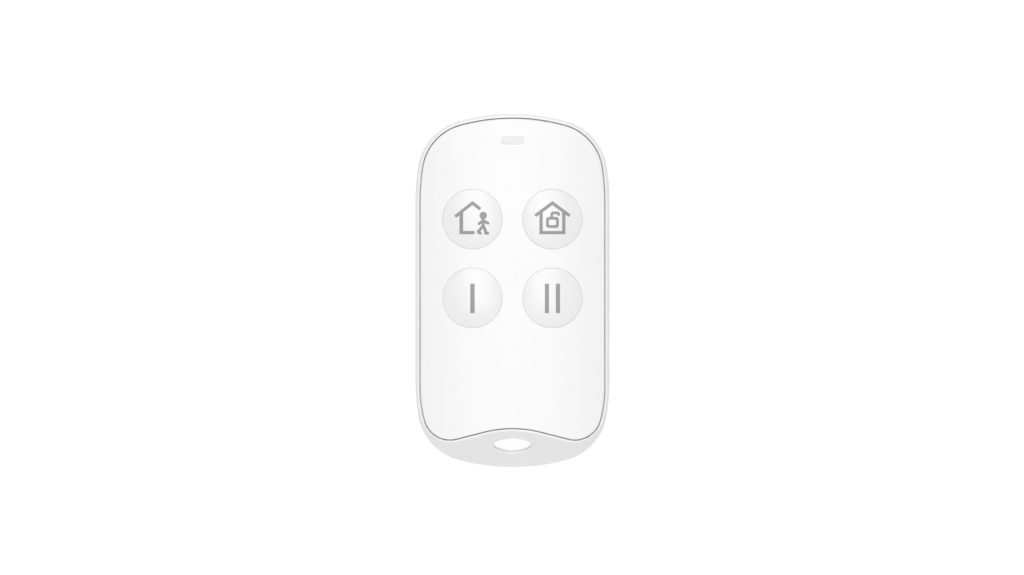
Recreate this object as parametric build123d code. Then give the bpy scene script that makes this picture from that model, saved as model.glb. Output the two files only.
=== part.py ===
from build123d import *
from collections import namedtuple
import math
import os

# Alarm key fob with four push buttons, a signal light and a lanyard eye.
# All sizes are millimetres. The fob lies on its back: +Z points out of the
# front face, +Y towards the end with the signal light, +X to the right.
# The origin is on the back face, at the middle of the outline.

# Outer form
fob_width = 37.4
fob_length = 68.2
shell_depth = 12.4
crown_fall = 1.2
end_radius = 38.7
corner_radius = 10.8
side_radius = 48.2
side_turn = 8.2
back_radius = 3.4
shoulder_inset = 0.45
shoulder_radius = 0.3
slope_foot_radius = 0.5
lip_edge_height = 0.69

# Seam between the front cover and the rim, with its wave at the lanyard end
seam_inset = 0.90
seam_gap = 0.20
seam_edge_radius = 0.12
crest_from_end = 7.51
crest_radius = 21.65
flank_angle = 14.31
lobe_from_side = 6.65
lobe_radius = 5.07
blend_radius = 24.3

# Housing walls and the joint between the two shells
wall = 1.5
floor_thickness = 1.5
floor_corner_radius = 2.0
parting_z = 4.4
parting_chamfer = 0.15
lip_thickness = 0.7
lip_height = 1.2
lip_clearance = 0.08
tongue_x = 6.5
tongue_width = 4.0
tongue_thickness = 0.8
tongue_height = 1.4
tongue_barb_reach = 0.5
tongue_barb_height = 0.6
tongue_clearance = 0.12

# Front cover, its ledge in the rim and its snap hooks
cover_thickness = 1.4
ledge_width = 1.4
ledge_thickness = 0.9
hook_width = 3.0
hook_thickness = 0.8
hook_clearance = 0.10
hook_barb_reach = 0.45
hook_barb_share = 0.34

# Lanyard eye
eye_from_end = 4.4
eye_length = 7.0
eye_height = 2.46
eye_tip_radius = 0.6
eye_wall = 1.2
eye_edge_radius = 0.35

# Signal light
light_from_end = 5.18
light_length = 4.46
light_height = 1.45
light_clearance = 0.02
light_flange = 0.7
light_flange_thickness = 0.7
light_stem_inset = 0.2
light_gap = 0.10

# Buttons
button_names = ("away", "disarm", "function_1", "function_2")
buttons_per_row = 2
button_diameter = 11.52
button_pitch_y = 15.18
button_columns_share = 0.4118
button_row_from_end = 20.33
button_clearance = 0.03
button_rise = 0.75
button_sink = 0.06
button_edge_radius = 0.06
button_travel = 0.3
stop_depth = 1.5
flange_width = 0.5
flange_thickness = 0.8
flange_gap = 0.05
flange_clearance = 0.35
key_width = 1.4
key_reach = 0.5
cap_skin = 1.4
cap_wall = 1.15
stem_diameter = 2.8

# Circuit board
board_thickness = 1.0
board_inset = 2.1
board_from_end = 12.8
board_corner_radius = 2.0
board_boss_diameter = 3.6
upper_boss_from_end = 13.1
lower_boss_from_end = 15.5
board_hole_diameter = 1.9
board_rest_diameter = 2.0
board_rest_from_side = 4.5
upper_rest_from_end = 12.6
lower_rest_from_end = 19.6

# Screws
board_screw_diameter = 1.5
board_screw_tip_depth = 2.2
board_screw_head_diameter = 2.8
board_screw_head_height = 0.7
case_screw_from_side = 6.4
case_screw_from_end = 10.1
case_screw_diameter = 2.0
case_screw_tip_depth = 2.08
case_screw_head_diameter = 3.6
case_screw_head_height = 1.1
case_screw_sink = 0.2
case_boss_diameter = 4.6
case_boss_gap = 0.1
screw_clearance = 0.05
screw_head_clearance = 0.2
screw_slot_length = 1.9
screw_slot_width = 0.5
screw_slot_depth = 0.45
screw_tip_chamfer = 0.3
screw_hole_rest = 0.6
screw_column_wall = 1.0
web_thickness = 1.2
web_clearance = 0.15

# Push switches under the buttons
switch_size = 5.2
switch_base_height = 1.1
switch_corner_radius = 0.4
switch_well_diameter = 3.7
switch_well_floor = 0.35
switch_cover_thickness = 0.2
switch_leg_width = 0.9
switch_leg_y = 1.6
switch_leg_foot = 0.6
plunger_diameter = 2.1
plunger_rise = 0.6
plunger_clearance = 0.08
plunger_foot_height = 0.35
plunger_foot_width = 0.45
plunger_gap = 0.05
dome_diameter = 3.3
dome_thickness = 0.07

# Coin cell and its contacts
cell_from_end = 28.6
cell_diameter = 20.0
cell_height = 3.2
cell_fit = 0.03
can_thickness = 0.25
can_rim_drop = 0.35
gasket_thickness = 0.65
cap_edge_radius = 0.3
contact_thickness = 0.15
contact_diameter = 6.0
contact_arm_length = 9.0
contact_arm_width = 2.4
clip_width = 8.0
clip_thickness = 0.3
clip_gap = 0.25
clip_foot = 1.6
clip_bend_radius = 0.5
pad_diameter = 12.0
pad_gap = 0.05
pad_share = 0.2966

# Board parts, standing on the front side of the board
controller_from_end = 38.8
controller_size = 4.8
controller_height = 0.9
radio_from_end = 31.9
radio_size = 4.0
radio_height = 0.85
crystal_from_end = 26.1
crystal_length = 3.2
crystal_width = 2.5
crystal_height = 0.8
chip_edge = 0.12
chip_mark_diameter = 0.5
chip_mark_inset = 0.7
chip_mark_depth = 0.08
lamp_length = 2.0
lamp_width = 1.25
lamp_height = 0.7
lamp_base_height = 0.3
lamp_lens_margin = 0.2
end_cap_length = 0.3
end_cap_step = 0.04
capacitor_length = 1.6
capacitor_width = 0.8
capacitor_height = 0.8
capacitor_x = 3.6
capacitor_pitch = 2.4
capacitor_rows = 4
capacitor_from_end = 8.5
resistor_length = 1.6
resistor_width = 0.8
resistor_height = 0.45
resistor_x = 2.2
resistor_pitch = 2.0
resistor_rows = 3
resistor_from_end = 22.5
antenna_from_side = 3.9
antenna_lower_from_end = 17.1
antenna_upper_from_end = 15.6
antenna_headroom = 0.55
antenna_diameter = 0.8
antenna_bend_radius = 1.2
antenna_tail = 0.4
antenna_clearance = 0.1

# How far cutting shapes run past what they cut
overrun = 5.0

half_width = fob_width / 2
half_length = fob_length / 2
crown_radius = (half_width**2 + crown_fall**2) / (2 * crown_fall)


def sine(angle):
    return math.sin(math.radians(angle))


def cosine(angle):
    return math.cos(math.radians(angle))


def crown_drop(x):
    """How far the front face has fallen at x, from its height at the middle."""
    return crown_radius - math.sqrt(crown_radius**2 - x**2)


# Places along the fob, each held from the end that it belongs to
crest_y = crest_from_end - half_length
eye_y = eye_from_end - half_length
case_screw_y = case_screw_from_end - half_length
board_end_y = board_from_end - half_length
board_boss_ys = (half_length - upper_boss_from_end, lower_boss_from_end - half_length)
board_rest_ys = (half_length - upper_rest_from_end, lower_rest_from_end - half_length)
cell_y = cell_from_end - half_length
controller_y = controller_from_end - half_length
radio_y = radio_from_end - half_length
crystal_y = crystal_from_end - half_length
resistor_first_y = resistor_from_end - half_length
antenna_bottom_y = antenna_lower_from_end - half_length
antenna_top_y = half_length - antenna_upper_from_end
button_top_row_y = half_length - button_row_from_end
capacitor_first_y = half_length - capacitor_from_end
light_y = half_length - light_from_end

# Places across the fob
lobe_x = half_width - lobe_from_side
button_x = button_columns_share * half_width
button_radius = button_diameter / 2
button_rows = len(button_names) // buttons_per_row
flange_diameter = button_diameter + 2 * flange_width
case_screw_x = half_width - case_screw_from_side
board_rest_x = half_width - board_rest_from_side
antenna_x = half_width - antenna_from_side
ledge_inset = seam_inset + ledge_width

# The slope falls from the wave's crest to the lip's lower edge
lip_run = crest_from_end - seam_inset + shoulder_inset
lip_fall = shell_depth - parting_z - lip_edge_height
slope_run = lip_run / lip_fall
slope_angle = math.degrees(math.atan(slope_run))
slope_wall = wall / cosine(slope_angle)

# Heights, from the back face up: the foam pad and the button stem share the spare height
cell_stack_height = pad_gap + clip_thickness + cell_height + contact_thickness
switch_height = switch_base_height + switch_cover_thickness
switch_stack_height = board_thickness + switch_height + plunger_rise + cap_skin
button_surface_z = shell_depth - crown_drop(button_x)
spare_height = button_surface_z - floor_thickness - cell_stack_height - switch_stack_height
board_bottom_z = floor_thickness + pad_share * spare_height + cell_stack_height
board_top_z = board_bottom_z + board_thickness
switch_base_top_z = board_top_z + switch_base_height
switch_top_z = board_top_z + switch_height
plunger_top_z = switch_top_z + plunger_rise
stop_z = shell_depth - stop_depth
flange_top_z = stop_z - flange_gap
flange_foot_z = flange_top_z - flange_thickness
cell_top_z = board_bottom_z - contact_thickness
cell_bottom_z = cell_top_z - cell_height
lip_top_z = parting_z + lip_height
rebate_top_z = lip_top_z + lip_clearance
ledge_foot_depth = cover_thickness + ledge_thickness
side_ledge_foot_z = shell_depth - crown_drop(half_width - ledge_inset) - ledge_foot_depth
hook_barb_height = hook_barb_share * (side_ledge_foot_z - hook_clearance - board_top_z)
case_boss_roof_depth = cover_thickness + case_boss_gap
case_boss_top_z = shell_depth - crown_drop(case_screw_x) - case_boss_roof_depth
case_screw_seat_z = case_screw_sink + case_screw_head_height
case_screw_length = case_boss_top_z - case_screw_tip_depth - case_screw_seat_z
board_screw_length = shell_depth - board_screw_tip_depth - board_bottom_z
antenna_panel_z = shell_depth - cover_thickness - crown_drop(antenna_x)
antenna_wire_z = antenna_panel_z - antenna_headroom - antenna_diameter / 2

# A closed front form: a rounded top end, straight sides and a waved lower end.
Form = namedtuple(
    "Form",
    "half_width half_length ends corners sides crest_y crest_radius flank lobe_x lobe blend",
)

seam_form = Form(
    half_width - seam_inset,
    half_length - seam_inset,
    end_radius - seam_inset,
    corner_radius - seam_inset,
    side_radius - seam_inset,
    crest_y,
    crest_radius,
    flank_angle,
    lobe_x,
    lobe_radius,
    blend_radius,
)


def grown(form, by):
    """The form with its whole line moved outwards by the same distance."""
    return form._replace(
        half_width=form.half_width + by,
        half_length=form.half_length + by,
        ends=form.ends + by,
        corners=form.corners + by,
        sides=form.sides + by,
        crest_y=form.crest_y - by,
        crest_radius=form.crest_radius - by,
        lobe=form.lobe + by,
        blend=form.blend + by,
    )


def corner_join(width, ends, corners, sides):
    """Angle at which the end arc turns into the corner arc."""
    reach = width - sides * (1 - cosine(side_turn)) - corners * cosine(side_turn)
    return math.degrees(math.acos(reach / (ends - corners)))


def arc(center, radius, first, last):
    return CenterArc(center, radius, first, last - first)


def end_edges(width, length, ends, corners, sides):
    """Right half of the rounded top end, and the y where its straight side starts."""
    join = corner_join(width, ends, corners, sides)
    end_center_y = length - ends
    corner_center = ((ends - corners) * cosine(join), end_center_y + (ends - corners) * sine(join))
    side_center = (width - sides, corner_center[1] + (corners - sides) * sine(side_turn))
    edges = [
        arc(side_center, sides, 0, side_turn),
        arc(corner_center, corners, side_turn, join),
        arc((0, end_center_y), ends, join, 90),
    ]
    return edges, side_center[1]


def wave_edges(form):
    """Right half of the waved lower end, and the y where its straight side stops."""
    crest_end = (
        form.crest_radius * sine(form.flank),
        form.crest_y - form.crest_radius * (1 - cosine(form.flank)),
    )
    flank_end_x = form.lobe_x - form.lobe * sine(form.flank)
    fall = math.tan(math.radians(form.flank)) * (flank_end_x - crest_end[0])
    flank_end = (flank_end_x, crest_end[1] - fall)
    lobe_center = (form.lobe_x, flank_end[1] + form.lobe * cosine(form.flank))
    blend_x = form.half_width - form.blend
    across = form.lobe_x - blend_x
    down = math.sqrt((form.blend - form.lobe) ** 2 - across**2)
    blend_center = (blend_x, lobe_center[1] + down)
    join = math.degrees(math.atan2(-down, across))
    edges = [
        arc((0, form.crest_y - form.crest_radius), form.crest_radius, 90, 90 - form.flank),
        Line(crest_end, flank_end),
        arc(lobe_center, form.lobe, -90 - form.flank, join),
        arc(blend_center, form.blend, join, 0),
    ]
    return edges, blend_center[1]


def face_from_right_half(edges):
    """Face inside a closed line, given its right half from bottom middle to top middle."""
    return Face(Wire(edges + [edge.mirror(Plane.YZ) for edge in edges]))


def outline_face(inset):
    """The outline of the whole fob, drawn in by an inset."""
    width = half_width - inset
    edges, side_y = end_edges(
        width,
        half_length - inset,
        end_radius - inset,
        corner_radius - inset,
        side_radius - inset,
    )
    side = Line((width, -side_y), (width, side_y))
    lower = [edge.mirror(Plane.XZ) for edge in edges]
    return face_from_right_half([side] + edges + lower)


def form_face(form):
    """Face inside a closed front form."""
    upper, side_top = end_edges(
        form.half_width, form.half_length, form.ends, form.corners, form.sides
    )
    lower, side_foot = wave_edges(form)
    side = Line((form.half_width, side_foot), (form.half_width, side_top))
    return face_from_right_half(lower + [side] + upper)


def column(face, bottom_z, top_z):
    """The face, drawn on the ground, as a straight column between two heights."""
    return extrude(Pos(0, 0, bottom_z) * face, amount=top_z - bottom_z, dir=(0, 0, 1))


def block(x0, x1, y0, y1, z0, z1):
    """A box between two corners."""
    low = (Align.MIN, Align.MIN, Align.MIN)
    return Pos(x0, y0, z0) * Box(x1 - x0, y1 - y0, z1 - z0, align=low)


def disc(x, y, z0, z1, diameter):
    """An upright cylinder between two heights."""
    low = (Align.CENTER, Align.CENTER, Align.MIN)
    return Pos(x, y, z0) * Cylinder(diameter / 2, z1 - z0, align=low)


def below_crown(depth):
    """Everything below the curved front face, or below a face that lies deeper."""
    roll = Cylinder(crown_radius - depth, fob_length + 2 * overrun)
    return Pos(0, 0, shell_depth - crown_radius) * Rot(90, 0, 0) * roll


def shoulder_form(inset):
    """The shoulder line, drawn back by what the slope runs out as the front face falls.

    Where the slope from this line meets the curved front, the line has its own
    width again, so the rim looks equally wide all round.
    """
    form = grown(seam_form, seam_inset - inset)
    join = corner_join(form.half_width, form.ends, form.corners, form.sides)
    curve = slope_run / crown_radius
    flank_middle_x = (form.crest_radius * sine(form.flank) + form.lobe_x) / 2
    flank = math.degrees(math.atan(math.tan(math.radians(form.flank)) - curve * flank_middle_x))
    lobe_drop = crown_drop(form.lobe_x)
    return form._replace(
        half_width=form.half_width - slope_run * crown_drop(form.half_width),
        ends=1 / (1 / form.ends + curve),
        corners=form.corners - slope_run * crown_drop(form.ends * cosine(join)),
        crest_radius=1 / (1 / form.crest_radius - curve),
        flank=flank,
        lobe_x=form.lobe_x - slope_run * (crown_drop(form.lobe_x + form.lobe) - lobe_drop),
        lobe=form.lobe - slope_run * lobe_drop,
    )


def inside_slope(inset):
    """Everything inside the slope that runs down and out from the shoulder line."""
    foot = grown(shoulder_form(inset), slope_run * shell_depth)
    return extrude(form_face(foot), amount=shell_depth, dir=(0, 0, 1), taper=slope_angle)


def eye_face(grow):
    """The lanyard eye: a pointed oval of two long arcs and two small tip arcs."""
    length = eye_length / 2 + grow
    height = eye_height / 2 + grow
    tip = eye_tip_radius + grow
    tip_x = length - tip
    long_radius = (tip_x**2 + height**2 - tip**2) / (2 * (height - tip))
    tip_angle = math.degrees(math.atan2(long_radius - height, tip_x))
    edges = [
        arc((0, long_radius - height), long_radius, -90, -tip_angle),
        arc((tip_x, 0), tip, -tip_angle, tip_angle),
        arc((0, height - long_radius), long_radius, tip_angle, 90),
    ]
    return Pos(0, eye_y, 0) * face_from_right_half(edges)


def stadium(length, height, x, y):
    return Pos(x, y, 0) * SlotOverall(length, height)


def button_places():
    """Name, x and y of each button, row by row from the top."""
    places = []
    for number, name in enumerate(button_names):
        row, side = divmod(number, buttons_per_row)
        x = button_x * (2 * side - 1)
        places.append((name, x, button_top_row_y - row * button_pitch_y))
    return places


def on_both_sides(shape):
    """The shape and its mirror image in the middle plane, as a list."""
    return [shape, mirror(shape, Plane.YZ)]


def case_screw_columns(z0, z1, diameter):
    return on_both_sides(disc(case_screw_x, case_screw_y, z0, z1, diameter))


def is_on_line(edge, line):
    """Whether an edge runs along a line when seen from above, other than straight up."""
    first = edge.start_point()
    last = edge.end_point()
    tolerance = seam_gap / 100
    if math.hypot(first.X - last.X, first.Y - last.Y) < tolerance:
        return False
    places = [edge.position_at(share) for share in (0, 1 / 2, 1)]
    return all(line.distance_to(Vertex(place.X, place.Y, 0)) < tolerance for place in places)


def front_shell():
    """Outer form of the upper shell, before it is hollowed."""
    shell = column(outline_face(0), parting_z, shell_depth + overrun)
    shell = (shell & inside_slope(shoulder_inset) & below_crown(0)).solid()
    shell = shell.fillet(shoulder_radius, shell.faces().sort_by(Axis.Z)[-1].edges()).solid()
    outline = outline_face(0).outer_wire()
    foot = [edge for edge in shell.edges() if is_on_line(edge, outline)]
    foot = [edge for edge in foot if edge.center().Z > parting_z + parting_chamfer]
    return shell.fillet(slope_foot_radius, foot).solid()


def tongue_ring(outer_inset, inner_inset, z0, z1, spread):
    """Two short pieces of a ring that follows the outline at the signal light's end."""
    ring = column(outline_face(outer_inset), z0, z1) - column(outline_face(inner_inset), z0, z1)
    reach = tongue_width / 2 + spread
    piece = ring & block(tongue_x - reach, tongue_x + reach, 0, fob_length, z0, z1)
    return on_both_sides(piece)


def body_frame():
    """Upper shell: rim, ledge for the front cover, sloping lip and lanyard eye."""
    shell = front_shell()
    above = shell_depth + overrun
    pocket_face = form_face(grown(seam_form, seam_gap / 2))
    pocket = column(pocket_face, parting_z, above) - below_crown(cover_thickness)
    opening = column(form_face(grown(seam_form, -ledge_width)), parting_z, above)
    cavity = column(outline_face(wall), parting_z, above)
    cavity = cavity & inside_slope(shoulder_inset + slope_wall) & below_crown(ledge_foot_depth)
    rebate_inset = wall - lip_thickness - lip_clearance
    rebate = column(outline_face(rebate_inset), parting_z, rebate_top_z)
    rebate = rebate - column(outline_face(wall), parting_z, rebate_top_z)

    boss_roof = below_crown(case_boss_roof_depth)
    web_z = rebate_top_z + web_clearance
    half_web = web_thickness / 2
    web_low_y = case_screw_y - half_web
    side_web = block(case_screw_x, half_width, web_low_y, web_low_y + web_thickness, web_z, above)
    web_low_x = case_screw_x - half_web
    end_web = block(web_low_x, web_low_x + web_thickness, -half_length, case_screw_y, web_z, above)
    kept = case_screw_columns(parting_z, above, case_boss_diameter)
    kept += on_both_sides(side_web) + on_both_sides(end_web)
    kept = [column(eye_face(eye_wall), parting_z, above)] + [rib & boss_roof for rib in kept]
    for rib in kept:
        cavity = cavity - rib
        opening = opening - rib
    frame = shell - pocket - cavity - opening - rebate

    hole_top_z = case_screw_seat_z + case_screw_length + screw_hole_rest
    hole_diameter = case_screw_diameter + 2 * screw_clearance
    for hole in case_screw_columns(parting_z, hole_top_z, hole_diameter):
        frame = frame - hole
    barb_z = lip_top_z + tongue_height - tongue_barb_height
    outer = wall - tongue_barb_reach
    for recess in tongue_ring(
        outer - tongue_clearance,
        wall + tongue_clearance,
        barb_z - tongue_clearance,
        lip_top_z + tongue_height + tongue_clearance,
        tongue_clearance,
    ):
        frame = frame - recess
    frame = (frame - column(eye_face(0), 0, above)).solid()

    eye_line = eye_face(0).outer_wire()
    eye_edges = [edge for edge in frame.edges() if is_on_line(edge, eye_line)]
    eye_edges = [edge for edge in eye_edges if edge.center().Z > parting_z + parting_chamfer]
    frame = frame.fillet(eye_edge_radius, eye_edges).solid()
    seam_line = pocket_face.outer_wire()
    seam_edges = [edge for edge in frame.edges() if is_on_line(edge, seam_line)]
    seam_top = shell_depth - crown_fall - cover_thickness / 2
    seam_edges = [edge for edge in seam_edges if edge.center().Z > seam_top]
    frame = frame.fillet(seam_edge_radius, seam_edges).solid()
    outline = outline_face(0).outer_wire()
    foot_edges = [edge for edge in frame.edges() if is_on_line(edge, outline)]
    foot_edges = [edge for edge in foot_edges if edge.center().Z < parting_z + parting_chamfer]
    return frame.chamfer(parting_chamfer, None, foot_edges).solid()


def rear_cover():
    """Lower shell: back face, screw columns, board rests, tongues and lanyard eye."""
    cover = column(outline_face(0), 0, parting_z)
    cover = fillet(cover.edges().group_by(Axis.Z)[0], back_radius)
    cover = chamfer(cover.edges().group_by(Axis.Z)[-1], parting_chamfer)
    cover = cover + column(outline_face(wall - lip_thickness), parting_z, lip_top_z)
    hollow = column(outline_face(wall), floor_thickness, lip_top_z + overrun)
    hollow = fillet(hollow.edges().group_by(Axis.Z)[0], floor_corner_radius)
    cover = cover - hollow

    cover = cover + column(eye_face(eye_wall), 0, parting_z)
    head_diameter = case_screw_head_diameter + 2 * screw_head_clearance
    column_diameter = head_diameter + 2 * screw_column_wall
    for added in case_screw_columns(0, parting_z, column_diameter):
        cover = cover + added
    for y in board_rest_ys:
        rest = disc(board_rest_x, y, floor_thickness, board_bottom_z, board_rest_diameter)
        for added in on_both_sides(rest):
            cover = cover + added
    inner = wall + tongue_thickness
    tongue_top_z = lip_top_z + tongue_height
    for added in tongue_ring(wall, inner, floor_thickness, lip_top_z, 0):
        cover = cover + added
    for added in tongue_ring(wall + tongue_clearance, inner, lip_top_z, tongue_top_z, 0):
        cover = cover + added
    barb_z = tongue_top_z - tongue_barb_height
    for added in tongue_ring(wall - tongue_barb_reach, inner, barb_z, tongue_top_z, 0):
        cover = cover + added

    for cut in case_screw_columns(-overrun, case_screw_seat_z, head_diameter):
        cover = cover - cut
    hole_diameter = case_screw_diameter + 2 * screw_head_clearance
    for cut in case_screw_columns(-overrun, parting_z + overrun, hole_diameter):
        cover = cover - cut
    cover = (cover - column(eye_face(0), -overrun, parting_z + overrun)).solid()
    eye_line = eye_face(0).outer_wire()
    eye_edges = [edge for edge in cover.edges() if is_on_line(edge, eye_line)]
    eye_edges = [edge for edge in eye_edges if edge.center().Z < floor_thickness]
    return cover.fillet(eye_edge_radius, eye_edges).solid()


def button_key(x, y, z0, z1, spread):
    """Key on a button's flange, or with a spread the slot that it slides in."""
    reach = key_width / 2 + spread
    end = y + flange_diameter / 2 + key_reach + spread
    return block(x - reach, x + reach, y, end, z0, z1)


def cover_hook(ledge_foot_z):
    """A snap hook that points along +X, with its barb under the ledge."""
    stem_outer = ledge_inset + hook_clearance
    barb_top_z = ledge_foot_z - hook_clearance
    foot_z = barb_top_z - hook_barb_height
    low_y = -hook_width / 2
    stem = block(-stem_outer - hook_thickness, -stem_outer, low_y, -low_y, foot_z, shell_depth)
    barb = block(-stem_outer, hook_barb_reach - stem_outer, low_y, -low_y, foot_z, barb_top_z)
    return stem + barb


def front_cover():
    """Inset front panel with button openings, light slot, screw bosses and snap hooks."""
    above = shell_depth + overrun
    panel_face = form_face(grown(seam_form, -seam_gap / 2))
    panel = (column(panel_face, parting_z, above) & below_crown(0)).solid()
    panel = fillet(panel.faces().sort_by(Axis.Z)[-1].edges(), seam_edge_radius)
    panel = panel - below_crown(cover_thickness)
    for _, x, y in button_places():
        well = disc(x, y, parting_z, stop_z, flange_diameter + 2 * flange_clearance)
        slot = button_key(x, y, parting_z, stop_z, flange_clearance)
        hole = disc(x, y, parting_z, above, button_diameter + 2 * button_clearance)
        panel = panel - well - slot - hole
    panel = panel - column(stadium(light_length, light_height, 0, light_y), parting_z, above)

    fused_roof = below_crown(cover_thickness / 2)
    hooks = []
    for row in range(button_rows):
        y = button_top_row_y - (row + 1 / 2) * button_pitch_y
        hooks += on_both_sides(Pos(half_width, y, 0) * cover_hook(side_ledge_foot_z))
    end_foot_z = shell_depth - crown_drop(hook_width / 2) - ledge_foot_depth
    hooks.append(Pos(0, half_length, 0) * Rot(0, 0, 90) * cover_hook(end_foot_z))
    for hook in hooks:
        panel = panel + (hook & fused_roof)
    hole_top_z = board_bottom_z + board_screw_length + screw_hole_rest
    for y in board_boss_ys:
        boss = disc(0, y, board_top_z, above, board_boss_diameter) & fused_roof
        hole = disc(0, y, parting_z, hole_top_z, board_screw_diameter + 2 * screw_clearance)
        panel = panel + boss - hole
    return panel.solid()


def light_guide():
    """Clear bar that fills the light slot and carries the light up from the board."""
    length = light_length - 2 * light_clearance
    height = light_height - 2 * light_clearance
    flange_length = length + 2 * light_flange
    flange_height = height + 2 * light_flange
    flange_top = shell_depth - cover_thickness - crown_drop(flange_length / 2)
    flange_foot = flange_top - light_flange_thickness
    foot_z = board_top_z + lamp_height + light_gap
    stem_length = length - 2 * light_stem_inset
    stem_height = height - 2 * light_stem_inset
    above = shell_depth + overrun
    head = column(stadium(length, height, 0, light_y), flange_foot, above) & below_crown(0)
    flange = column(stadium(flange_length, flange_height, 0, light_y), flange_foot, flange_top)
    stem = column(stadium(stem_length, stem_height, 0, light_y), foot_z, flange_foot)
    return (head + flange + stem).solid()


def button_cap(x, y):
    """Domed button with a flange and key under the cover and a stem over its switch."""
    lean = math.degrees(math.asin(x / crown_radius))
    ball_radius = (button_radius**2 + button_rise**2) / (2 * button_rise)
    ball_depth = ball_radius - button_rise + button_sink
    ball_x = x - ball_depth * sine(lean)
    ball_z = button_surface_z - ball_depth * cosine(lean)
    ball = Pos(ball_x, y, ball_z) * Sphere(ball_radius)
    head = disc(x, y, flange_foot_z, shell_depth + overrun, button_diameter) & ball
    head = fillet(head.faces().sort_by(Axis.Z)[-1].edges(), button_edge_radius)
    cap = head + disc(x, y, flange_foot_z, flange_top_z, flange_diameter)
    cap = cap + button_key(x, y, flange_foot_z, flange_top_z, 0)
    roof_z = button_surface_z - cap_skin
    hollow_diameter = button_diameter - 2 * cap_wall
    cap = cap - disc(x, y, flange_foot_z - overrun, roof_z, hollow_diameter)
    return (cap + disc(x, y, plunger_top_z, roof_z, stem_diameter)).solid()


def switch_base(x, y):
    half = switch_size / 2
    base = block(x - half, x + half, y - half, y + half, board_top_z, switch_base_top_z)
    base = fillet(base.edges().filter_by(Axis.Z), switch_corner_radius)
    well_floor_z = board_top_z + switch_well_floor
    return (base - disc(x, y, well_floor_z, switch_top_z, switch_well_diameter)).solid()


def switch_cover(x, y):
    """Metal lid of a switch, with four legs folded down to the board."""
    half = switch_size / 2
    lid = block(x - half, x + half, y - half, y + half, switch_base_top_z, switch_top_z)
    lid = lid - disc(x, y, 0, shell_depth, plunger_diameter + 2 * plunger_clearance)
    outer = half + switch_cover_thickness
    foot_top_z = board_top_z + switch_cover_thickness
    for across in (-1, 1):
        for along in (-1, 1):
            leg_y = y + along * switch_leg_y
            low_y = leg_y - switch_leg_width / 2
            high_y = leg_y + switch_leg_width / 2
            leg_x = sorted((x + across * half, x + across * outer))
            foot_x = sorted((x + across * half, x + across * (outer + switch_leg_foot)))
            lid = lid + block(leg_x[0], leg_x[1], low_y, high_y, board_top_z, switch_top_z)
            lid = lid + block(foot_x[0], foot_x[1], low_y, high_y, board_top_z, foot_top_z)
    return lid.solid()


def switch_dome(x, y):
    """Thin snap dome in the switch, as high as the button travels."""
    rest_z = board_top_z + switch_well_floor
    ball_radius = ((dome_diameter / 2) ** 2 + button_travel**2) / (2 * button_travel)
    place = Pos(x, y, rest_z + button_travel - ball_radius)
    shell = place * Sphere(ball_radius) - place * Sphere(ball_radius - dome_thickness)
    return (shell & disc(x, y, rest_z, switch_top_z, dome_diameter)).solid()


def switch_plunger(x, y):
    foot_top_z = switch_base_top_z - plunger_gap
    foot_diameter = plunger_diameter + 2 * plunger_foot_width
    foot = disc(x, y, foot_top_z - plunger_foot_height, foot_top_z, foot_diameter)
    return (foot + disc(x, y, foot_top_z, plunger_top_z, plunger_diameter)).solid()


def circuit_board():
    """Board inside the housing walls, cut straight before the lanyard end."""
    board = column(outline_face(board_inset), board_bottom_z, board_top_z)
    board = board - block(
        -half_width, half_width, -half_length, board_end_y, board_bottom_z, board_top_z
    )
    corners = board.edges().filter_by(Axis.Z).group_by(Axis.Y)[0]
    board = fillet(corners, board_corner_radius)
    spread = 2 * tongue_clearance
    notch_inset = wall + tongue_thickness + spread
    for notch in tongue_ring(0, notch_inset, board_bottom_z, board_top_z, spread):
        board = board - notch
    for y in board_boss_ys:
        board = board - disc(0, y, board_bottom_z, board_top_z, board_hole_diameter)
    for y in (antenna_bottom_y, antenna_top_y):
        hole_diameter = antenna_diameter + 2 * antenna_clearance
        board = board - disc(antenna_x, y, board_bottom_z, board_top_z, hole_diameter)
    return board.solid()


def antenna():
    """Bent wire antenna that stands along the right side of the board."""
    foot_z = board_bottom_z - antenna_tail
    path = FilletPolyline(
        (antenna_x, antenna_bottom_y, foot_z),
        (antenna_x, antenna_bottom_y, antenna_wire_z),
        (antenna_x, antenna_top_y, antenna_wire_z),
        (antenna_x, antenna_top_y, foot_z),
        radius=antenna_bend_radius,
    )
    section = Pos(antenna_x, antenna_bottom_y, foot_z) * Circle(antenna_diameter / 2)
    return sweep(section, path=path).solid()


def battery_can():
    can_top_z = cell_top_z - can_rim_drop
    can = disc(0, cell_y, cell_bottom_z, can_top_z, cell_diameter)
    inside = cell_diameter - 2 * can_thickness
    return (can - disc(0, cell_y, cell_bottom_z + can_thickness, can_top_z, inside)).solid()


def battery_gasket():
    outer = cell_diameter - 2 * (can_thickness + cell_fit)
    inner = outer - 2 * gasket_thickness
    foot_z = cell_bottom_z + can_thickness
    top_z = cell_top_z - can_rim_drop
    return (disc(0, cell_y, foot_z, top_z, outer) - disc(0, cell_y, foot_z, top_z, inner)).solid()


def battery_cap():
    diameter = cell_diameter - 2 * (can_thickness + gasket_thickness + 2 * cell_fit)
    cap = disc(0, cell_y, cell_bottom_z + can_thickness, cell_top_z, diameter)
    return fillet(cap.faces().sort_by(Axis.Z)[-1].edges(), cap_edge_radius).solid()


def battery_contact():
    """Flat contact under the board that touches the top of the coin cell."""
    plate = disc(0, cell_y, cell_top_z, board_bottom_z, contact_diameter)
    half = contact_arm_width / 2
    arm_end_y = cell_y + contact_arm_length
    arm = block(-half, half, cell_y, arm_end_y, cell_top_z, board_bottom_z)
    return (plate + arm).solid()


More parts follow.
